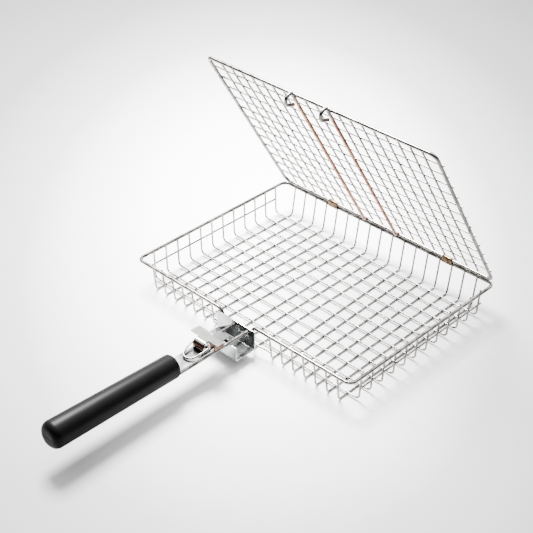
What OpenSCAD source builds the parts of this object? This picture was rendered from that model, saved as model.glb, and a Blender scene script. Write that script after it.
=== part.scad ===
// Wire grill basket with hinged mesh lid and latched handle, in millimetres.
// X is the width, -Y the handle side, +Y the hinge side, Z up from the floor.

/* [Tray] */
// width between the centre lines of the side rims
tray_width = 320; // [240:1:420]
// depth between the centre lines of the front and back rims
tray_depth = 247; // [200:1:330]
// rim centre line above the centre line of the floor wires
tray_height = 36; // [33:1:60]
// diameter of the rim wire
rim_wire = 4; // [3.4:0.1:5]
// diameter of the mesh wires
mesh_wire = 2.2; // [1.6:0.1:2.6]
// centre line radius of the rim corners
corner_radius = 8; // [6:1:16]
// how far the front and back walls lean in at the floor
end_taper = 8; // [4:0.5:14]
// how far the side walls lean in at the floor
side_taper = 4.2; // [3.5:0.1:10]

/* [Lid] */
// length of the lid from hinge line to free edge
lid_length = 252.5; // [205:0.5:340]
// angle of the lid above its closed position
lid_angle = 57.5; // [5:0.5:170]
// spacing of the long lid wires
lid_long_pitch = 15.4; // [12:0.1:16.5]
// diameter of the two hook rods
hook_rod = 3.8; // [3:0.1:4.2]
// distance of each hook rod from the middle
hook_rod_x = 24; // [23:0.5:26]

/* [Bracket] */
// width of the sheet bracket
bracket_width = 57; // [54:1:70]
// depth of the bracket channel
bracket_depth = 29; // [24:1:36]
// thickness of the bracket sheet
bracket_sheet = 1.2; // [0.8:0.1:2]

/* [Handle] */
// sideways offset of the handle from the middle of the bracket
handle_x = 9; // [-6:0.5:9]
// distance between the two handle rods
rod_spacing = 19.4; // [17:0.2:20]
// diameter of the handle rods
handle_rod = 4; // [3.2:0.1:4.4]
// distance from front rim to the front end of the grip
grip_start = 103; // [98:1:140]
// length of the grip
grip_length = 161; // [120:1:190]
// grip radius at its front end
grip_front_radius = 13.5; // [12.5:0.5:16]
// grip radius near its butt
grip_butt_radius = 15; // [13:0.5:18]

/* [Hidden] */
steel_bright = [0.80, 0.80, 0.80];
steel_plate = [0.70, 0.71, 0.70];
steel_dark = [0.62, 0.60, 0.58];
grip_black = [0.06, 0.06, 0.065];
// straight lengths run a little way into each bend, a hair thinner than it
joint_lap = 0.1;
joint_step = 0.01;
round_fn = 32;
bend_fn = 64;
half_w = tray_width / 2;
half_d = tray_depth / 2;
rim_r = rim_wire / 2;
mesh_r = mesh_wire / 2;
floor_z = mesh_r;
cross_z = floor_z + mesh_wire;
rim_z = floor_z + tray_height;
// mesh wires are welded to the inner side of the rim
inset = rim_r + mesh_r;
wall_top_z = rim_z + 1.2;
bend_r = 5;
// seven full wires a side at the front, seventeen at the back
side_count = 7;
back_pitch = (tray_width - 41.6) / 16;
front_first = 44;
front_pitch = (8 * back_pitch - front_first) / (side_count - 1);
side_wires = 12;
side_pitch = (tray_depth - 42.4) / (side_wires - 1);
rail_drop = 16.5;

// bracket
bracket_top = rim_z - rim_r - 0.5;
bracket_bottom = rim_z - 27;
bracket_back = -half_d - rim_r;
bracket_front = bracket_back - bracket_depth;
bracket_bend = 2;
leg_x = bracket_width / 2 - 6.5;
leg_bend = 4;
stay_z = rim_z - 24.5;
rod_z = rim_z - 6.5;
rod_r = handle_rod / 2;
rod_fit = 0.08;
channel_lip = rod_z - rod_r - 0.3;

// lid
lid_half = half_w - 2.5;
hinge_z = rim_z + rim_wire + 0.4;
frame_r = rim_r;
// cross wires lie on the outer side of the lid frame, long wires under them, rods inside
weld = 0.05;
lid_cross_n = frame_r + mesh_r - weld;
lid_long_n = lid_cross_n - mesh_wire;
hook_r = hook_rod / 2;
lid_rod_n = weld - frame_r - hook_r;
lid_cross_count = 12;
lid_cross_first = 17.2;
lid_cross_pitch = (lid_length - 21.5 - lid_cross_first) / (lid_cross_count - 1);
lid_long_count = 19;
lid_end_gap = 5;
sleeve_length = back_pitch - mesh_wire - 1.2;
sleeve_fit = 0.05;
sleeve_sheet = 0.8;

// handle
tang_sheet = 1.5;
tang_width = rod_spacing + 0.8;
tang_z = rod_z + rod_r;
tang_start = bracket_front - 8;
tilt = 1.66;
grip_y = -half_d - grip_start;
bend_y = grip_y + 9;
tang_in_grip = 0.62 * grip_length;
axis_above_tang = 2.7;
seam_above_axis = 1;
seam_gap = 0.3;
screw_r = 1.75;
screw_head_r = 3.2;
screw_at = [0.22 * grip_length, 0.5 * grip_length];

// latch
pivot_y = bracket_front - 31;
pivot_r = 4.95;
curl_r = 6.2;
curl_fit = 0.05;
pivot_z = tang_z + tang_sheet + curl_r + 0.4;
curl_half = 7;
lever_sheet = 1.2;
thumb_half = 19.5;
thumb_back = 3;
thumb_front = 12.5;
cheek_sheet = 1.2;
cheek_gap = 0.3;
cheek_back = 7.5;
cheek_front = 20.5;
ear_sheet = 0.9;
ear_in = curl_half + 0.1;
neck_r = 3;
collar_length = 2;
ring_wire = 2.4;
ring_fit = 0.06;
ring_droop = 11;
ring_bend = 2.4;
catch_half = 6.6;
catch_y = bracket_front + bracket_sheet + 2.2;
catch_drop = 3;
spring_wire = 1.1;
spring_turns = 7;
spring_pitch = 1.3;

function unit(v) = v / norm(v);
function heading(v) = atan2(v[1], v[0]);
function turn(a, b, c) =
    let (u = unit(b - a), w = unit(c - b))
    atan2(u[0] * w[1] - u[1] * w[0], u * w);

// straight round bar between two points of one plane
module bar(p, q, d) {
    translate([p[0], p[1], 0])
        rotate([0, 0, heading(q - p)])
            rotate([0, 90, 0])
                cylinder(h = norm(q - p), d = d, $fn = round_fn);
}

// bend of a wire at point b between a and c
module elbow(a, b, c, r, d) {
    t = turn(a, b, c);
    u = unit(b - a);
    w = unit(c - b);
    trim = r * tan(abs(t) / 2);
    s = sign(t);
    first = b - u * trim;
    last = b + w * trim;
    middle = first + r * s * [-u[1], u[0]];
    from = s > 0 ? first : last;
    translate([middle[0], middle[1], 0])
        rotate([0, 0, heading(from - middle)])
            rotate_extrude(angle = abs(t), $fn = bend_fn)
                translate([r, 0])
                    circle(d = d, $fn = round_fn);
}

// wire bent in one plane through a list of points with equal bends
module bent_wire(pts, r, d) {
    n = len(pts);
    cut = [for (i = [0 : n - 1])
        (i == 0 || i == n - 1) ? 0
            : r * tan(abs(turn(pts[i - 1], pts[i], pts[i + 1])) / 2) - joint_lap];
    for (i = [0 : n - 2]) {
        u = unit(pts[i + 1] - pts[i]);
        bar(pts[i] + u * cut[i], pts[i + 1] - u * cut[i + 1], d - 2 * joint_step);
    }
    for (i = [1 : n - 2])
        elbow(pts[i - 1], pts[i], pts[i + 1], r, d);
}

// closed rectangular wire loop with rounded corners, centred
module loop_wire(hx, hy, r, d) {
    e = r - joint_lap;
    t = d - 2 * joint_step;
    bar([-hx + e, -hy], [hx - e, -hy], t);
    bar([hx, -hy + e], [hx, hy - e], t);
    bar([hx - e, hy], [-hx + e, hy], t);
    bar([-hx, hy - e], [-hx, -hy + e], t);
    elbow([-hx, 0], [-hx, -hy], [0, -hy], r, d);
    elbow([0, -hy], [hx, -hy], [hx, 0], r, d);
    elbow([hx, 0], [hx, hy], [0, hy], r, d);
    elbow([0, hy], [-hx, hy], [-hx, 0], r, d);
}

// stands a drawing of the XY plane up into the YZ plane
module in_yz() {
    multmatrix([[0, 0, 1, 0], [1, 0, 0, 0], [0, 1, 0, 0], [0, 0, 0, 1]])
        children();
}

// stands a drawing of the XY plane up into the XZ plane
module in_xz() {
    multmatrix([[1, 0, 0, 0], [0, 0, -1, 0], [0, 1, 0, 0], [0, 0, 0, 1]])
        children();
}

module tray_rim() {
    gap = leg_x + leg_bend;
    color(steel_bright) {
        translate([0, 0, rim_z])
            bent_wire([[-gap, -half_d], [-half_w, -half_d], [-half_w, half_d],
                       [half_w, half_d], [half_w, -half_d], [gap, -half_d]],
                      corner_radius, rim_wire);
        for (s = [-1, 1])
            translate([0, -half_d, 0])
                in_xz()
                    rim_leg(s);
    }
}

// end of the rim wire turned down beside the bracket plate
module rim_leg(s) {
    elbow([s * (leg_x + leg_bend), rim_z], [s * leg_x, rim_z], [s * leg_x, rim_z - leg_bend],
          leg_bend, rim_wire);
    bar([s * leg_x, rim_z - leg_bend + joint_lap], [s * leg_x, stay_z - 1],
        rim_wire - 2 * joint_step);
}

// wire running down the front wall, under the floor and up the back wall
module tray_long_wire(front_x, back_x, front_top) {
    run = 2 * (half_d - inset);
    yaw = atan((front_x - back_x) / run);
    lean = (end_taper - inset) * (rim_z - front_top) / tray_height;
    translate([(front_x + back_x) / 2, 0, 0])
        rotate([0, 0, yaw])
            in_yz()
                bent_wire([[-half_d + inset + lean, front_top], [-half_d + end_taper, floor_z],
                           [half_d - end_taper, floor_z], [half_d - inset, wall_top_z]],
                          bend_r, mesh_wire);
}

module tray_long_wires() {
    color(steel_bright) {
        for (i = [0 : side_count - 1], s = [-1, 1])
            tray_long_wire(s * (front_first + front_pitch * i), s * back_pitch * (i + 2), wall_top_z);
        for (i = [-1 : 1])
            tray_long_wire(back_pitch * i, back_pitch * i, stay_z + mesh_wire);
    }
}

module tray_cross_wires() {
    color(steel_bright)
        for (i = [0 : side_wires - 1])
            translate([0, (i - (side_wires - 1) / 2) * side_pitch, 0])
                in_xz()
                    bent_wire([[-half_w + inset, wall_top_z], [-half_w + side_taper + 0.6, cross_z],
                               [half_w - side_taper - 0.6, cross_z], [half_w - inset, wall_top_z]],
                              bend_r, mesh_wire);
}

module tray_side_rails() {
    reach = side_pitch * (side_wires - 1) / 2 + 1.5;
    lean = (side_taper + 0.6 - inset) * rail_drop / tray_height;
    x = half_w - inset - lean + mesh_wire;
    color(steel_bright)
        for (s = [-1, 1])
            translate([0, 0, rim_z - rail_drop])
                bar([s * x, -reach], [s * x, reach], mesh_wire);
}

module bracket_stay() {
    near = -half_d + rim_r + mesh_r;
    far = -half_d + inset + (end_taper - inset) * 24.5 / tray_height - mesh_wire;
    color(steel_bright)
        translate([0, 0, stay_z])
            bent_wire([[-front_first - 2.5, far], [-front_first + 5, far], [-leg_x - 5, near],
                       [leg_x + 5, near], [front_first - 5, far], [front_first + 2.5, far]],
                      bend_r, mesh_wire);
}

// outline of the channel sheet in the YZ plane
module channel_outline() {
    t = bracket_sheet;
    b = bracket_bend;
    difference() {
        union() {
            translate([bracket_front, bracket_bottom + b])
                square([bracket_depth, bracket_top - bracket_bottom - b]);
            translate([bracket_front + b, bracket_bottom])
                square([bracket_depth - 2 * b, b + 1]);
            for (y = [bracket_front + b, bracket_back - b])
                translate([y, bracket_bottom + b])
                    circle(r = b, $fn = round_fn);
        }
        translate([bracket_front + t, bracket_bottom + b])
            square([bracket_depth - 2 * t, bracket_top - bracket_bottom]);
        translate([bracket_front + b, bracket_bottom + t])
            square([bracket_depth - 2 * b, b]);
        for (y = [bracket_front + b, bracket_back - b])
            translate([y, bracket_bottom + b])
                circle(r = b - t, $fn = round_fn);
        translate([bracket_front - 1, channel_lip])
            square([bracket_depth / 2, bracket_top]);
    }
}

module front_bracket() {
    color(steel_plate)
        difference() {
            translate([-bracket_width / 2, 0, 0])
                in_yz()
                    linear_extrude(bracket_width)
                        channel_outline();
            for (s = [-1, 1])
                translate([handle_x + s * rod_spacing / 2, bracket_back + 1, rod_z])
                    rotate([90, 0, 0])
                        cylinder(h = bracket_sheet + 2, r = rod_r + rod_fit, $fn = round_fn);
        }
}

// stadium outline round the rim wire and the lid wire above it
module sleeve_outline(r) {
    for (z = [rim_z, hinge_z])
        translate([half_d, z])
            circle(r = r, $fn = round_fn);
    translate([half_d - r, rim_z])
        square([2 * r, hinge_z - rim_z]);
}

module hinge_sleeves() {
    r = rim_r + sleeve_fit;
    color(steel_dark)
        for (x = [-4.5 * back_pitch, 5.5 * back_pitch])
            translate([x - sleeve_length / 2, 0, 0])
                in_yz()
                    linear_extrude(sleeve_length)
                        difference() {
                            sleeve_outline(r + sleeve_sheet);
                            sleeve_outline(r);
                        }
}

// lid drawn flat with its hinge line at the origin, then raised to its angle
module place_lid() {
    translate([0, half_d, hinge_z])
        rotate([-lid_angle, 0, 0])
            children();
}

module lid_frame() {
    color(steel_bright)
        place_lid()
            translate([0, -lid_length / 2, 0])
                loop_wire(lid_half, lid_length / 2, corner_radius, rim_wire);
}

module lid_long_wires() {
    color(steel_bright)
        place_lid()
            for (i = [0 : lid_long_count - 1])
                translate([0, 0, lid_long_n]) {
                    x = (i - (lid_long_count - 1) / 2) * lid_long_pitch;
                    bar([x, -lid_end_gap], [x, -lid_length + lid_end_gap], mesh_wire);
                }
}

module lid_cross_wires() {
    reach = lid_half + 1.5;
    color(steel_bright)
        place_lid()
            for (i = [0 : lid_cross_count - 1])
                translate([0, 0, lid_cross_n]) {
                    y = -lid_cross_first - i * lid_cross_pitch;
                    bar([-reach, y], [reach, y], mesh_wire);
                }
}

// rod along the lid, bent up to the hinge bar and hooked past the free edge
module lid_hook_rods() {
    n = lid_rod_n;
    e = -lid_length;
    color(steel_dark)
        place_lid()
            for (s = [-1, 1])
                translate([s * hook_rod_x, 0, 0])
                    in_yz()
                        bent_wire([[0.1 - frame_r, -0.5], [-8, n],
                                   [e - 10.5, n], [e - 11, n - 9],
                                   [e - 3.5, n - 13], [e + 5.5, n - hook_rod - 0.6]],
                                  4, hook_rod);
}

module handle_rods() {
    color(steel_bright)
        for (s = [-1, 1])
            translate([handle_x + s * rod_spacing / 2, bracket_back - 0.4, rod_z])
                rotate([90, 0, 0])
                    cylinder(h = bracket_back - 0.4 - (grip_y + 0.6), d = handle_rod, $fn = round_fn);
}

// frame of the grip: origin on the tang at its bend, Y along the grip
module place_grip() {
    translate([handle_x, bend_y, tang_z])
        rotate([-tilt, 0, 0])
            children();
}

// ear of the tang that carries the latch pivot
module ear() {
    difference() {
        union() {
            translate([pivot_y - neck_r - 2, tang_z + 0.2])
                square([2 * neck_r + 4, pivot_z - tang_z - 0.2]);
            translate([pivot_y, pivot_z])
                circle(r = neck_r + 2, $fn = round_fn);
        }
        translate([pivot_y, pivot_z])
            circle(r = neck_r, $fn = round_fn);
    }
}

module handle_tang() {
    color(steel_plate) {
        translate([handle_x - tang_width / 2, bend_y, tang_z])
            cube([tang_width, tang_start - bend_y, tang_sheet]);
        difference() {
            place_grip()
                translate([-tang_width / 2, -tang_in_grip, 0])
                    cube([tang_width, tang_in_grip + 0.02, tang_sheet]);
            place_grip()
                for (y = screw_at)
                    translate([0, -9 - y, -5])
                        cylinder(h = 12, r = screw_r + 0.3, $fn = round_fn);
        }
        for (x = [-ear_in - ear_sheet, ear_in])
            translate([handle_x + x, 0, 0])
                in_yz()
                    linear_extrude(ear_sheet)
                        ear();
    }
}

// tube between the ears with a collar at each end and a bore for the pull ring
module latch_pivot() {
    color(steel_dark)
        translate([handle_x, pivot_y, pivot_z])
            rotate([0, 90, 0])
                difference() {
                    union() {
                        for (z = [-ear_in + 0.05, ear_in - 0.05 - collar_length])
                            translate([0, 0, z])
                                cylinder(h = collar_length, r = pivot_r, $fn = round_fn);
                        translate([0, 0, -ear_in - ear_sheet])
                            cylinder(h = 2 * (ear_in + ear_sheet), r = neck_r, $fn = round_fn);
                    }
                    translate([0, 0, -20])
                        cylinder(h = 40, r = ring_wire / 2 + ring_fit, $fn = round_fn);
                }
}

// outline of the curled part of the lever sheet
module curl_outline() {
    difference() {
        translate([pivot_y, pivot_z])
            circle(r = curl_r, $fn = bend_fn);
        translate([pivot_y, pivot_z])
            circle(r = pivot_r + curl_fit, $fn = bend_fn);
    }
}

module cheek_outline(top) {
    low = tang_z + 0.4;
    polygon([[pivot_y + cheek_back, low], [pivot_y + cheek_front, low],
             [pivot_y + cheek_front, low + 5], [pivot_y + thumb_front - 0.5, top],
             [pivot_y + cheek_back, top]]);
}

module latch_lever() {
    top = pivot_z + curl_r;
    low = pivot_z - curl_r;
    color(steel_plate) {
        translate([handle_x - curl_half, 0, 0])
            in_yz()
                linear_extrude(2 * curl_half)
                    curl_outline();
        // thumb plate
        translate([handle_x - curl_half, pivot_y, top - lever_sheet])
            cube([2 * curl_half, thumb_back + 1, lever_sheet]);
        translate([handle_x - thumb_half, pivot_y + thumb_back, top - lever_sheet])
            cube([2 * thumb_half, thumb_front - thumb_back, lever_sheet]);
        // cheeks folded down over the sides of the tang
        for (x = [-tang_width / 2 - cheek_gap - cheek_sheet, tang_width / 2 + cheek_gap])
            translate([handle_x + x, 0, 0])
                in_yz()
                    linear_extrude(cheek_sheet)
                        cheek_outline(top - lever_sheet / 2);
        // catch tongue with its turned down end behind the channel lip
        translate([handle_x - catch_half, pivot_y, low])
            cube([2 * catch_half, catch_y - pivot_y, lever_sheet]);
        translate([handle_x - catch_half, catch_y - lever_sheet, channel_lip - catch_drop])
            cube([2 * catch_half, lever_sheet, low + lever_sheet - channel_lip + catch_drop]);
    }
}

// torsion spring inside the curl, drawn as closed turns on the neck of the pivot
module latch_spring() {
    color(steel_dark)
        translate([handle_x, pivot_y, pivot_z])
            rotate([0, 90, 0])
                for (i = [0 : spring_turns - 1])
                    translate([0, 0, (i - (spring_turns - 1) / 2) * spring_pitch])
                        rotate_extrude($fn = bend_fn)
                            translate([neck_r + 0.1 + spring_wire / 2, 0])
                                circle(d = spring_wire, $fn = round_fn);
}

module pull_ring() {
    wide = ear_in + ear_sheet + 0.1 + ring_bend;
    color(steel_bright)
        translate([handle_x, pivot_y, pivot_z])
            rotate([ring_droop, 0, 0])
                bent_wire([[-3, 0], [-wide, 0], [-wide, -6], [-8.6, -16], [-6.4, -20.8], [-2.4, -23.4],
                           [2.4, -23.4], [6.4, -20.8], [8.6, -16], [wide, -6], [wide, 0], [3, 0]],
                          ring_bend, ring_wire);
}

// half outline of the grip along its axis, butt end up
module grip_profile() {
    front_round = 3;
    butt_round = 8;
    r0 = grip_front_radius;
    r1 = grip_butt_radius;
    difference() {
        union() {
            polygon([[0, 0], [r0 - front_round, 0], [r0, front_round],
                     [r1, grip_length - butt_round], [r1 - butt_round, grip_length], [0, grip_length]]);
            translate([r0 - front_round, front_round])
                circle(r = front_round, $fn = round_fn);
            translate([r1 - butt_round, grip_length - butt_round])
                circle(r = butt_round, $fn = bend_fn);
        }
        translate([-60, -1])
            square([60, grip_length + 2]);
    }
}

// solid of the whole grip in the tang frame
module grip_body() {
    translate([0, -9, axis_above_tang])
        rotate([90, 0, 0])
            rotate_extrude($fn = bend_fn)
                grip_profile();
}

module grip_upper() {
    color(grip_black)
        place_grip()
            difference() {
                intersection() {
                    grip_body();
                    translate([-30, -9 - grip_length - 1, axis_above_tang + seam_above_axis + seam_gap / 2])
                        cube([60, grip_length + 2, 40]);
                }
                for (y = screw_at)
                    translate([0, -9 - y, 0])
                        cylinder(h = axis_above_tang + 9, r = screw_r, $fn = round_fn);
            }
}

module grip_lower() {
    color(grip_black)
        place_grip()
            difference() {
                intersection() {
                    grip_body();
                    translate([-30, -9 - grip_length - 1, axis_above_tang + seam_above_axis - seam_gap / 2 - 40])
                        cube([60, grip_length + 2, 40]);
                }
                translate([-tang_width / 2 - 0.1, -tang_in_grip - 0.3, -0.1])
                    cube([tang_width + 0.2, tang_in_grip + 1, tang_sheet + 0.2]);
                for (y = screw_at)
                    translate([0, -9 - y, -20]) {
                        cylinder(h = 40, r = screw_r, $fn = round_fn);
                        cylinder(h = 20 - 6, r = screw_head_r + 0.3, $fn = round_fn);
                    }
            }
}

module grip_screws() {
    color(steel_dark)
        place_grip()
            for (y = screw_at)
                translate([0, -9 - y, 0])
                    difference() {
                        union() {
                            translate([0, 0, -6])
                                cylinder(h = 6 + axis_above_tang + 8, r = screw_r, $fn = round_fn);
                            translate([0, 0, -8])
                                cylinder(h = 2, r = screw_head_r, $fn = round_fn);
                        }
                        translate([-0.4, -5, -9])
                            cube([0.8, 10, 1.8]);
                    }
}

tray_rim();
tray_long_wires();
tray_cross_wires();
tray_side_rails();
bracket_stay();
front_bracket();
hinge_sleeves();
lid_frame();
lid_long_wires();
lid_cross_wires();
lid_hook_rods();
handle_rods();
handle_tang();
latch_pivot();
latch_lever();
latch_spring();
pull_ring();
grip_upper();
grip_lower();
grip_screws();
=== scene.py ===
import math

import bpy
from mathutils import Matrix, Vector


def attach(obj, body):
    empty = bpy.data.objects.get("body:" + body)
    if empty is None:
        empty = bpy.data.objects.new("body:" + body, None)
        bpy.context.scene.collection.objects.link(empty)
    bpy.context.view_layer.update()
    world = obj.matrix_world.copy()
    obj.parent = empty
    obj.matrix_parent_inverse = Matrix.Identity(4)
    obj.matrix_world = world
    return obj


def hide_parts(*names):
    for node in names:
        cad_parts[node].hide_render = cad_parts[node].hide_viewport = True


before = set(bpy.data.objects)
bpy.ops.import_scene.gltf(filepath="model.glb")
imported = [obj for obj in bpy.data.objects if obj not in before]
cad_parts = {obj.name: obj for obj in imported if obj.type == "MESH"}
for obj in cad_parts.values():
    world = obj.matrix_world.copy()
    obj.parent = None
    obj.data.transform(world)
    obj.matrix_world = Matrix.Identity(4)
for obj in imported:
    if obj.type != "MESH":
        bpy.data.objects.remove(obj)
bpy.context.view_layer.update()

# Tray rim: one 4 mm steel wire bent round four corners. Its two front ends turn down
# behind the sheet bracket. Drawn, spot welded and then bright plated.


def srgb(code):
    """Linear colour from a six-figure sRGB hex code."""
    parts = [int(code[i:i + 2], 16) / 255 for i in (0, 2, 4)]
    return [p / 12.92 if p <= 0.04045 else ((p + 0.055) / 1.055) ** 2.4 for p in parts] + [1.0]


def add(mat, kind, values=None, links=None, **settings):
    """Adds a shader node, with its settings, socket values and links."""
    n = mat.node_tree.nodes.new(kind)
    for key, value in settings.items():
        setattr(n, key, value)
    for key, value in (values or {}).items():
        n.inputs[key].default_value = value
    for key, socket in (links or {}).items():
        mat.node_tree.links.new(socket, n.inputs[key])
    return n


def metal(name, dark, light, patch_mm, rough_low, rough_high, grain_mm, dent_mm, stretch=(1, 1, 1)):
    """Plated metal: cloudy tone and roughness, with a fine grain in its surface."""
    mat = bpy.data.materials.new(name)
    mat.use_nodes = True
    mat.node_tree.nodes.clear()
    place = add(mat, "ShaderNodeTexCoord")
    cloud = add(mat, "ShaderNodeTexNoise", {"Scale": 1000 / patch_mm, "Detail": 4.0, "Roughness": 0.6},
                {"Vector": place.outputs["Object"]})
    tone = add(mat, "ShaderNodeValToRGB", links={"Fac": cloud.outputs["Fac"]})
    tone.color_ramp.elements[0].position = 0.32
    tone.color_ramp.elements[0].color = srgb(dark)
    tone.color_ramp.elements[1].position = 0.68
    tone.color_ramp.elements[1].color = srgb(light)
    rough = add(mat, "ShaderNodeMapRange",
                {"From Min": 0.3, "From Max": 0.7, "To Min": rough_low, "To Max": rough_high},
                {"Value": cloud.outputs["Fac"]})
    along = add(mat, "ShaderNodeMapping", {"Scale": stretch}, {"Vector": place.outputs["Object"]})
    grain = add(mat, "ShaderNodeTexNoise", {"Scale": 1000 / grain_mm, "Detail": 2.0},
                {"Vector": along.outputs["Vector"]})
    dents = add(mat, "ShaderNodeBump", {"Strength": 0.4, "Distance": dent_mm / 1000},
                {"Height": grain.outputs["Fac"]})
    shader = add(mat, "ShaderNodeBsdfPrincipled", {"Metallic": 1.0},
                 {"Base Color": tone.outputs["Color"], "Roughness": rough.outputs["Result"],
                  "Normal": dents.outputs["Normal"]})
    add(mat, "ShaderNodeOutputMaterial", links={"Surface": shader.outputs["BSDF"]})
    return mat


def wire(name, points, bend, radius, steps=6):
    """Round wire drawn out from a disc through points in millimetres, bent at each inner one."""
    pts = [Vector(p) / 1000 for p in points]
    u = (pts[1] - pts[0]).normalized()
    bpy.ops.mesh.primitive_circle_add(vertices=16, radius=radius / 1000, fill_type="NGON")
    piece = bpy.context.object
    piece.name = name
    turn = Vector((0, 0, 1)).rotation_difference(u).to_matrix().to_4x4()
    piece.data.transform(Matrix.Translation(pts[0]) @ turn)
    bpy.ops.object.mode_set(mode="EDIT")
    bpy.ops.mesh.select_all(action="SELECT")
    at = pts[0]
    for i in range(1, len(pts)):
        u = (pts[i] - pts[i - 1]).normalized()
        cut = 0.0
        if i < len(pts) - 1:
            w = (pts[i + 1] - pts[i]).normalized()
            angle = u.angle(w)
            cut = bend / 1000 * math.tan(angle / 2)
        stop = pts[i] - u * cut
        bpy.ops.mesh.extrude_region_move(TRANSFORM_OT_translate={"value": stop - at})
        at = stop
        if cut:
            axis = u.cross(w).normalized()
            centre = stop + axis.cross(u) * bend / 1000
            bpy.ops.mesh.spin(steps=max(2, round(steps * angle / 1.57)), angle=angle,
                              center=centre, axis=-axis)
            at = pts[i] + w * cut
    bpy.ops.mesh.select_all(action="SELECT")
    bpy.ops.mesh.normals_make_consistent(inside=False)
    bpy.ops.object.mode_set(mode="OBJECT")
    bpy.ops.object.shade_smooth_by_angle(angle=math.radians(50))
    return piece


def repeat(piece, moves):
    """The piece and its copies, each with its own mesh set down in its own place."""
    out = [piece]
    for k in range(1, len(moves)):
        one = piece.copy()
        one.data = piece.data.copy()
        one.name = "%s_%02d" % (piece.name, k + 1)
        bpy.context.collection.objects.link(one)
        out.append(one)
    for one, move in zip(out, moves):
        one.data.transform(move)
    return out


def dress(pieces, mat, slot, body, *nodes):
    """Gives finished pieces their material and tells the frame what they stand for."""
    for piece in pieces:
        piece.data.materials.clear()
        piece.data.materials.append(mat)
        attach(piece, body)
        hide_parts(*nodes)


def move(x=0, y=0, z=0):
    """Shift in millimetres."""
    return Matrix.Translation(Vector((x, y, z)) / 1000)


# Bright plating over drawn steel: clear reflections, a little cloudy in patches.
plated = metal("bright_plated_drawn_wire", "46433F", "8F8C88", 9.0, 0.16, 0.28, 0.8, 0.02)
half_w, half_d, rim_z = 160.0, 123.5, 37.1
rim_r, corner, leg_x, leg_end = 2.0, 7.9, 22, 11.6
rim = wire("tray_rim", [(-leg_x, -half_d, leg_end), (-leg_x, -half_d, rim_z), (-half_w, -half_d, rim_z),
                        (-half_w, half_d, rim_z), (half_w, half_d, rim_z), (half_w, -half_d, rim_z),
                        (leg_x, -half_d, rim_z), (leg_x, -half_d, leg_end)], corner, rim_r, 12)
dress([rim], plated, "bright_wire", "tray", "tray_rim")

# Tray mesh: 2.2 mm wires. The long ones run down the front wall, under the floor and up the
# back wall; the cross ones lie on them; both are spot welded inside the rim.
mesh_r, mesh_bend, top_z = 1.1, 5, 38.2
low_z, cross_z = mesh_r, 3 * mesh_r
end_top_y, end_foot_y, side_top_x, side_foot_x = 120.5, 115.5, 156.9, 155.2
back_step, front_first, front_step, wires_a_side = 17.4, 44, 15.8667, 7
yaw_run = 240.8
long_wire = wire("tray_long_wire", [(0, -end_top_y, top_z), (0, -end_foot_y, low_z),
                                    (0, end_foot_y, low_z), (0, end_top_y, top_z)], mesh_bend, mesh_r)
places = []
for side in (-1, 1):
    for i in range(wires_a_side):
        front, back = side * (front_first + front_step * i), side * back_step * (i + 2)
        yaw = math.atan((front - back) / yaw_run)
        places.append(move((front + back) / 2) @ Matrix.Rotation(yaw, 4, "Z"))
dress(repeat(long_wire, places), plated, "bright_wire", "tray", "tray_long_wires")
stay_y, stay_z = -117.3, 14.6
short_wire = wire("tray_middle_wire", [(0, stay_y, stay_z), (0, -end_foot_y, low_z),
                                       (0, end_foot_y, low_z), (0, end_top_y, top_z)], mesh_bend, mesh_r)
dress(repeat(short_wire, [move(back_step * i) for i in (-1, 0, 1)]), plated, "bright_wire", "tray",
      "tray_long_wires")
cross_step, cross_count = 18.6, 12
cross_wire = wire("tray_cross_wire", [(-side_top_x, 0, top_z), (-side_foot_x, 0, cross_z),
                                      (side_foot_x, 0, cross_z), (side_top_x, 0, top_z)], mesh_bend, mesh_r)
rows = [move(0, (i - (cross_count - 1) / 2) * cross_step) for i in range(cross_count)]
dress(repeat(cross_wire, rows), plated, "bright_wire", "tray", "tray_cross_wires")
rail_x, rail_y, rail_z = 158.3, 103.7, 20.6
rail = wire("tray_side_rail", [(0, -rail_y, rail_z), (0, rail_y, rail_z)], mesh_bend, mesh_r)
dress(repeat(rail, [move(-rail_x), move(rail_x)]), plated, "bright_wire", "tray", "tray_side_rails")

# Bracket stay: a short mesh wire behind the bracket, stepped forward between the first long
# wires to lie against the rim's turned-down ends. Same plated wire, spot welded.
stay_points = [(46.4, -119.3, 12.6), (39, -119.3, 12.6), (27, -120.4, 12.6)]
stay = wire("bracket_stay", [(-x, y, z) for x, y, z in stay_points] + stay_points[::-1],
            mesh_bend, mesh_r)
dress([stay], plated, "bright_wire", "tray", "bracket_stay")

# Front bracket: 1.2 mm sheet pressed into an open channel with rounded folds, the outer wall
# lower than the inner one. Spot welded to the rim's turned-down ends and polished.
polished = metal("polished_plated_sheet", "6C6E6E", "989A99", 16.0, 0.10, 0.22, 0.5, 0.03, (1, 0.08, 1))


def finish_mesh(name, bevel_mm, angle=30):
    """Closes off a sheet or block shape: softens its edges and shades it by angle."""
    piece = bpy.context.object
    piece.name = name
    bpy.ops.object.mode_set(mode="OBJECT")
    edge = piece.modifiers.new("softened_edges", "BEVEL")
    edge.width = bevel_mm / 1000
    edge.segments = 2
    edge.limit_method = "ANGLE"
    edge.angle_limit = math.radians(angle)
    bpy.ops.object.modifier_apply(modifier=edge.name)
    bpy.ops.object.mode_set(mode="EDIT")
    bpy.ops.mesh.select_all(action="SELECT")
    bpy.ops.mesh.normals_make_consistent(inside=False)
    bpy.ops.object.mode_set(mode="OBJECT")
    bpy.ops.object.shade_smooth_by_angle(angle=math.radians(30))
    return piece


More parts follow.
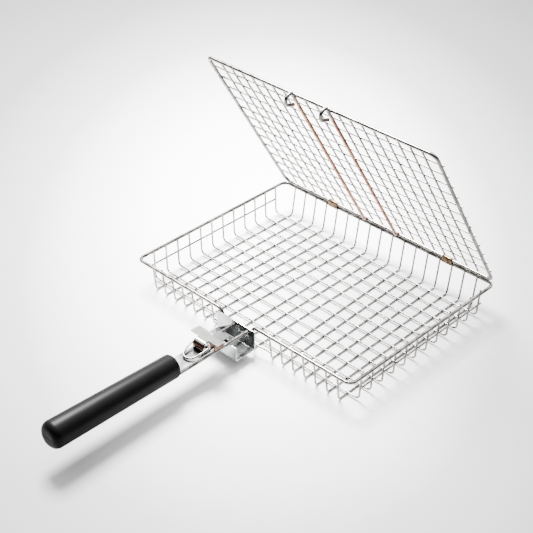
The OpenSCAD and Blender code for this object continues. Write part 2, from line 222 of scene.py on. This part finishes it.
def strip(name, path, half_x, centre_x, sheet, bend, bevel_mm=0.18):
    """Sheet of even width bent along a path of (y, z) points in millimetres, thickened evenly."""
    pts = [Vector((centre_x - half_x, y, z)) / 1000 for y, z in path]
    bpy.ops.mesh.primitive_circle_add(vertices=3, radius=0.001)
    piece = bpy.context.object
    bpy.ops.object.mode_set(mode="EDIT")
    bpy.ops.mesh.select_all(action="SELECT")
    bpy.ops.mesh.delete(type="VERT")
    bpy.ops.mesh.primitive_plane_add(size=0.001)
    bpy.ops.mesh.merge(type="CENTER")
    bpy.ops.transform.translate(value=pts[0])
    at = pts[0]
    for i in range(1, len(pts)):
        u = (pts[i] - pts[i - 1]).normalized()
        cut = 0.0
        if i < len(pts) - 1:
            w = (pts[i + 1] - pts[i]).normalized()
            angle = u.angle(w)
            cut = bend / 1000 * math.tan(angle / 2)
        stop = pts[i] - u * cut
        bpy.ops.mesh.extrude_region_move(TRANSFORM_OT_translate={"value": stop - at})
        at = stop
        if cut:
            axis = u.cross(w).normalized()
            bpy.ops.mesh.spin(steps=5, angle=angle, center=stop + axis.cross(u) * bend / 1000, axis=-axis)
            at = pts[i] + w * cut
    bpy.ops.mesh.select_all(action="SELECT")
    bpy.ops.mesh.extrude_region_move(TRANSFORM_OT_translate={"value": (2 * half_x / 1000, 0, 0)})
    bpy.ops.mesh.select_all(action="SELECT")
    bpy.ops.mesh.remove_doubles(threshold=0.000001)
    bpy.ops.mesh.normals_make_consistent(inside=False)
    bpy.ops.object.mode_set(mode="OBJECT")
    thick = piece.modifiers.new("sheet_thickness", "SOLIDIFY")
    thick.thickness = sheet / 1000
    thick.offset = 0
    thick.use_even_offset = True
    bpy.ops.object.modifier_apply(modifier=thick.name)
    return finish_mesh(name, bevel_mm)


back_y, lip_y, foot_z = -126.1, -153.9, 10.7
bracket = strip("front_bracket", [(back_y, 34.5), (back_y, foot_z), (lip_y, foot_z), (lip_y, 28.2)],
                28.4, 0, 1.2, 1.6)
dress([bracket], polished, "pressed_sheet", "tray", "front_bracket")

# Hinge sleeves: two short strips rolled round the back rim and the lid's bottom wire.
# Plated strip that has picked up a warm tint.
warm = metal("heat_tinted_rolled_strip", "2E221A", "76604A", 5.0, 0.16, 0.32, 0.6, 0.05)
sleeve_r, sleeve_length, wire_gap = 0.00285, 0.0138, 0.0044
bpy.ops.mesh.primitive_cylinder_add(vertices=32, radius=sleeve_r, depth=sleeve_length,
                                    rotation=(0, math.pi / 2, 0))
bpy.ops.object.transform_apply(location=False, rotation=True, scale=False)
sleeve = bpy.context.object
bpy.ops.object.mode_set(mode="EDIT")
bpy.ops.mesh.select_all(action="SELECT")
bpy.ops.mesh.bisect(plane_co=(0, 0, 0), plane_no=(0, 0, 1), use_fill=False, clear_inner=False)
bpy.ops.mesh.select_all(action="DESELECT")
bpy.ops.object.mode_set(mode="OBJECT")
for v in sleeve.data.vertices:
    v.select = v.co.z > 0.0000001
bpy.ops.object.mode_set(mode="EDIT")
bpy.ops.transform.translate(value=(0, 0, wire_gap))
sleeve = finish_mesh("hinge_sleeve", 0.25)
dress(repeat(sleeve, [move(-78.3, half_d, rim_z), move(95.7, half_d, rim_z)]), warm, "rolled_sleeve",
      "tray", "hinge_sleeves")

# Lid: a 4 mm frame wire closed into a loop, cross wires welded on its outer side and long
# wires under them. Modelled flat, hinge line at the origin, then raised to its stored angle.
raised = move(0, half_d, 41.5) @ Matrix.Rotation(math.radians(-57.5), 4, "X")
lid_x, lid_y, lid_r = 157.5, 252.5, 2.0
loop = wire("lid_frame", [(0, 0, 0), (lid_x, 0, 0), (lid_x, -lid_y, 0), (-lid_x, -lid_y, 0),
                          (-lid_x, 0, 0), (0, 0, 0)], 8, lid_r, 12)
dress(repeat(loop, [raised]), plated, "bright_wire", "lid", "lid_frame")
over, under = 3.05, 0.85
lid_cross = wire("lid_cross_wire", [(-lid_x - 1.4, 0, over), (lid_x + 1.4, 0, over)], mesh_bend, mesh_r)
dress(repeat(lid_cross, [raised @ move(0, -17.2 - i * 19.436) for i in range(12)]), plated, "bright_wire",
      "lid", "lid_cross_wires")
lid_long = wire("lid_long_wire", [(0, -5.1, under), (0, 5.1 - lid_y, under)], mesh_bend, mesh_r)
dress(repeat(lid_long, [raised @ move((i - 9) * 15.4) for i in range(19)]), plated, "bright_wire", "lid",
      "lid_long_wires")

# Hook rods: two 3.8 mm rods down the lid, each bent past the free edge into a hook that drops
# into the bracket when the lid is shut. Their straight parts carry a painted brown reflection of the food in
# the tray.


def mix_tones(mat, other, along, start, stop):
    """Fades the metal's tone into another one between two distances (m) along a direction."""
    nodes = mat.node_tree.nodes
    shader = next(n for n in nodes if n.type == "BSDF_PRINCIPLED")
    place = next(n for n in nodes if n.type == "TEX_COORD")
    reach = add(mat, "ShaderNodeVectorMath", {1: along}, {0: place.outputs["Object"]},
                operation="DOT_PRODUCT")
    share = add(mat, "ShaderNodeMapRange", {"From Min": start, "From Max": stop},
                {"Value": reach.outputs["Value"]})
    mixed = add(mat, "ShaderNodeMix", {7: srgb(other)},
                {0: share.outputs["Result"], 6: shader.inputs["Base Color"].links[0].from_socket},
                data_type="RGBA")
    mat.node_tree.links.new(mixed.outputs[2], shader.inputs["Base Color"])


# Painted reflection: the brown tone stands for the food mirrored in the rods. Past the free edge the hooks
# fade to plain grey.
brown_reflection_rod = metal("drawn_rod_painted_brown_reflection", "4A2C1E", "946A54", 7.0, 0.07, 0.16, 0.8, 0.04, (1, 1, 0.1))
mix_tones(brown_reflection_rod, "787674", (0, -0.5373, 0.8434), 0.209, 0.227)
rod_n, hook_r, hook_x = -3.85, 1.9, 24
hook = wire("lid_hook_rod", [(0, -2.0, -0.5), (0, -8, rod_n), (0, -lid_y - 10.5, rod_n),
                             (0, -lid_y - 11, rod_n - 9), (0, -lid_y - 3.5, rod_n - 13),
                             (0, -lid_y + 5.5, rod_n - 4.4)], 4.0, hook_r, 10)
dress(repeat(hook, [raised @ move(-hook_x), raised @ move(hook_x)]), brown_reflection_rod, "bright_rod", "lid",
      "lid_hook_rods")

# Handle rods: two 4 mm drawn steel rods from the holes in the bracket to the grip. They are
# welded under the two edges of the tang and plated like the basket's own wires.
hand_x, rod_out, rod_z = 9.0, 9.7, 30.6
rod = wire("handle_rod", [(0, -126.0, rod_z), (0, -225.8, rod_z)], mesh_bend, 2.0)
dress(repeat(rod, [move(hand_x - rod_out), move(hand_x + rod_out)]), plated, "bright_rod", "handle",
      "handle_rods")

# Pull ring: a 2.4 mm wire bail whose ends turn into the pivot tube, bent to a rounded loop.
# Plated drawn wire, a shade darker than the basket's.
pivot_y, pivot_z = -185.5, 40.7
droop = move(hand_x, pivot_y, pivot_z) @ Matrix.Rotation(math.radians(11), 4, "X")
half_bail = [(3.1, 0, 0), (10.5, 0, 0), (10.5, -6, 0), (8.6, -16, 0), (6.4, -20.8, 0), (2.4, -23.4, 0)]
bail = wire("pull_ring", [(-x, y, z) for x, y, z in half_bail] + half_bail[::-1], 2.4, 1.2, 8)
drawn = metal("bright_plated_ring_wire", "3C3A38", "7C7977", 5.0, 0.10, 0.20, 0.8, 0.02)
dress(repeat(bail, [droop]), drawn, "bright_rod", "ring", "pull_ring")

# Grip: two moulded shells of heat-resistant plastic, screwed together through the tang, with a
# fine seam low on each side. Satin black, with a faint moulded grain.
satin = bpy.data.materials.new("satin_black_moulded_plastic")
satin.use_nodes = True
satin.node_tree.nodes.clear()
place = add(satin, "ShaderNodeTexCoord")
cloud = add(satin, "ShaderNodeTexNoise", {"Scale": 60.0, "Detail": 5.0}, {"Vector": place.outputs["Object"]})
tone = add(satin, "ShaderNodeValToRGB", links={"Fac": cloud.outputs["Fac"]})
tone.color_ramp.elements[0].color = srgb("020202")
tone.color_ramp.elements[1].color = srgb("050505")
rough = add(satin, "ShaderNodeMapRange", {"To Min": 0.34, "To Max": 0.44}, {"Value": cloud.outputs["Fac"]})
grain = add(satin, "ShaderNodeTexNoise", {"Scale": 1600.0, "Detail": 2.0},
            {"Vector": place.outputs["Object"]})
dents = add(satin, "ShaderNodeBump", {"Strength": 0.25, "Distance": 0.00006},
            {"Height": grain.outputs["Fac"]})
plastic = add(satin, "ShaderNodeBsdfPrincipled", {"Specular IOR Level": 0.05}, {
    "Base Color": tone.outputs["Color"], "Roughness": rough.outputs["Result"],
    "Normal": dents.outputs["Normal"]})
add(satin, "ShaderNodeOutputMaterial", links={"Surface": plastic.outputs["BSDF"]})
in_grip = move(hand_x, -217.5, 32.6) @ Matrix.Rotation(math.radians(-1.66), 4, "X")


def shell(name, upper):
    """Half of the grip: a tapered bar with a domed butt, cut along the seam."""
    bpy.ops.mesh.primitive_cone_add(vertices=64, radius1=0.0135, radius2=0.0150, depth=0.1608,
                                    rotation=(math.pi / 2, 0, 0))
    bpy.ops.object.transform_apply(location=False, rotation=True, scale=False)
    bar = bpy.context.object
    bpy.ops.object.mode_set(mode="EDIT")
    bpy.ops.mesh.select_mode(type="FACE")
    for sign, width, segments in ((-1, 0.008, 10), (1, 0.0028, 6)):
        bpy.ops.mesh.select_all(action="DESELECT")
        bpy.ops.object.mode_set(mode="OBJECT")
        for p in bar.data.polygons:
            p.select = p.normal.y * sign > 0.9
        bpy.ops.object.mode_set(mode="EDIT")
        bpy.ops.mesh.region_to_loop()
        bpy.ops.mesh.bevel(offset=width, segments=segments, profile=0.5)
        bpy.ops.mesh.select_mode(type="FACE")
    bpy.ops.mesh.select_all(action="SELECT")
    seam = 0.00106 if upper else 0.00094
    bpy.ops.mesh.bisect(plane_co=(0, 0, seam), plane_no=(0, 0, 1), use_fill=True, clear_inner=upper,
                        clear_outer=not upper)
    bpy.ops.object.mode_set(mode="OBJECT")
    bar.data.transform(move(0, -9 - 80.5, 2.7))
    piece = finish_mesh(name, 0.08, 50)
    piece.data.transform(in_grip)
    return piece


dress([shell("grip_upper_shell", True)], satin, "black_grip", "handle", "grip_upper")
dress([shell("grip_lower_shell", False)], satin, "black_grip", "handle", "grip_lower")

# Tang, lever, pivot tube, spring and screws: these keep their drawn shapes. The tang and the
# lever are pressed plated sheet, the lever's barrel and cheeks tinted brown and its thumb plate
# pale. The tube, the spring and the screws are plain turned or drawn steel.
turned = metal("turned_steel", "3E3A37", "77706A", 4.0, 0.18, 0.32, 0.4, 0.03)
pressed = metal("tinted_pressed_lever_sheet", "1A110E", "5A3E33", 2.5, 0.08, 0.20, 0.5, 0.03)
mix_tones(pressed, "80847D", (0, 0, 1), 0.0450, 0.0455)
mix_tones(pressed, "6A6C6A", (0, 1, 0), -0.1648, -0.1640)
for name, finish in (("handle_tang", polished), ("latch_lever", pressed)):
    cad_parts[name].data.materials.clear()
    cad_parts[name].data.materials.append(finish)
for name in ("latch_pivot", "latch_spring", "grip_screws"):
    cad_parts[name].data.materials.clear()
    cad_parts[name].data.materials.append(turned)

# Room: a pale floor of seamless matt paper with a faint fibre in it. Its colour carries a painted
# pool of light, as on a backdrop lit in the middle: white in an oval round the basket, falling to grey away
# from it.
bpy.ops.mesh.primitive_plane_add(size=12.0)
floor = bpy.context.object
floor.name = "paper_floor"
paper = bpy.data.materials.new("white_paper_painted_light_pool")
paper.use_nodes = True
paper.node_tree.nodes.clear()
place = add(paper, "ShaderNodeTexCoord")
oval = add(paper, "ShaderNodeMapping",
           {"Location": (-0.155, 0.088, 0), "Rotation": (0, 0, math.radians(43.1))},
           {"Vector": place.outputs["Object"]}, vector_type="TEXTURE")
flat = add(paper, "ShaderNodeVectorMath", {1: (3.3, 1.75, 0)}, {0: oval.outputs["Vector"]},
           operation="MULTIPLY")
away = add(paper, "ShaderNodeVectorMath", links={0: flat.outputs["Vector"]}, operation="LENGTH")
fibre = add(paper, "ShaderNodeTexNoise", {"Scale": 40.0, "Detail": 5.0}, {"Vector": place.outputs["Object"]})
ripple = add(paper, "ShaderNodeMath", {1: 0.02}, {0: fibre.outputs["Fac"]}, operation="MULTIPLY")
painted_light_falloff = add(paper, "ShaderNodeMath", {1: 0.5}, {0: away.outputs["Value"], 2: ripple.outputs["Value"]},
             operation="MULTIPLY_ADD")
# Painted light: the ramp runs from the lit centre of the pool to paper in painted shade at its rim.
tone = add(paper, "ShaderNodeValToRGB", links={"Fac": painted_light_falloff.outputs["Value"]})
tone.color_ramp.elements[0].color = srgb("FAFAFA")
tone.color_ramp.elements[1].color = srgb("606060")
for at, code in ((0.2, "E6E6E6"), (0.5, "8E8E8E"), (0.7, "6E6E6E")):
    tone.color_ramp.elements.new(at).color = srgb(code)
matt = add(paper, "ShaderNodeBsdfPrincipled", {"Roughness": 0.9, "Specular IOR Level": 0.1},
           {"Base Color": tone.outputs["Color"]})
add(paper, "ShaderNodeOutputMaterial", links={"Surface": matt.outputs["BSDF"]})
floor.data.materials.append(paper)

# Light: a studio dome, bright overhead and behind the basket and dark on the near side, and
# one soft box to the left and behind that throws the shadow towards the right.
world = bpy.data.worlds.new("studio_dome")
bpy.context.scene.world = world
world.use_nodes = True
world.node_tree.nodes.clear()
sky = add(world, "ShaderNodeTexCoord")
height = add(world, "ShaderNodeVectorMath", {1: (-0.342, 0.365, 0.866)}, {0: sky.outputs["Generated"]},
             operation="DOT_PRODUCT")
dome = add(world, "ShaderNodeValToRGB", links={"Fac": height.outputs["Value"]})
dome.color_ramp.elements[0].position = 0.05
dome.color_ramp.elements[0].color = srgb("121212")
dome.color_ramp.elements[1].position = 0.85
dome.color_ramp.elements[1].color = srgb("FFFFFF")
dome.color_ramp.elements.new(0.50).color = srgb("707070")
glow = add(world, "ShaderNodeBackground", {"Strength": 6.0}, {"Color": dome.outputs["Color"]})
add(world, "ShaderNodeOutputWorld", links={"Surface": glow.outputs["Background"]})


def soft_box(name, place, aim, size, watts):
    """Square soft light at a place, turned towards a point."""
    data = bpy.data.lights.new(name, "AREA")
    data.size = size
    data.energy = watts
    o = bpy.data.objects.new(name, data)
    bpy.context.collection.objects.link(o)
    o.location = place
    o.rotation_euler = (Vector(aim) - Vector(place)).to_track_quat("-Z", "Y").to_euler()
    return o


soft_box("key_box", (-0.66, 0.2, 1.4), (0.0, -0.05, 0.0), 0.6, 300)

# Camera: three-quarter view from the front right, above the handle.
lens = bpy.data.cameras.new("product_view")
lens.lens = 84.9
lens.sensor_width = 36
camera = bpy.data.objects.new("product_view", lens)
bpy.context.collection.objects.link(camera)
place, aim = Vector((0.7630, -0.8947, 0.8456)), Vector((-0.0454, -0.0307, 0.0371))
camera.location = place
level = (aim - place).to_track_quat("-Z", "Y").to_matrix()
camera.rotation_euler = (level @ Matrix.Rotation(math.radians(1.0), 3, "Z")).to_euler()
bpy.context.scene.camera = camera
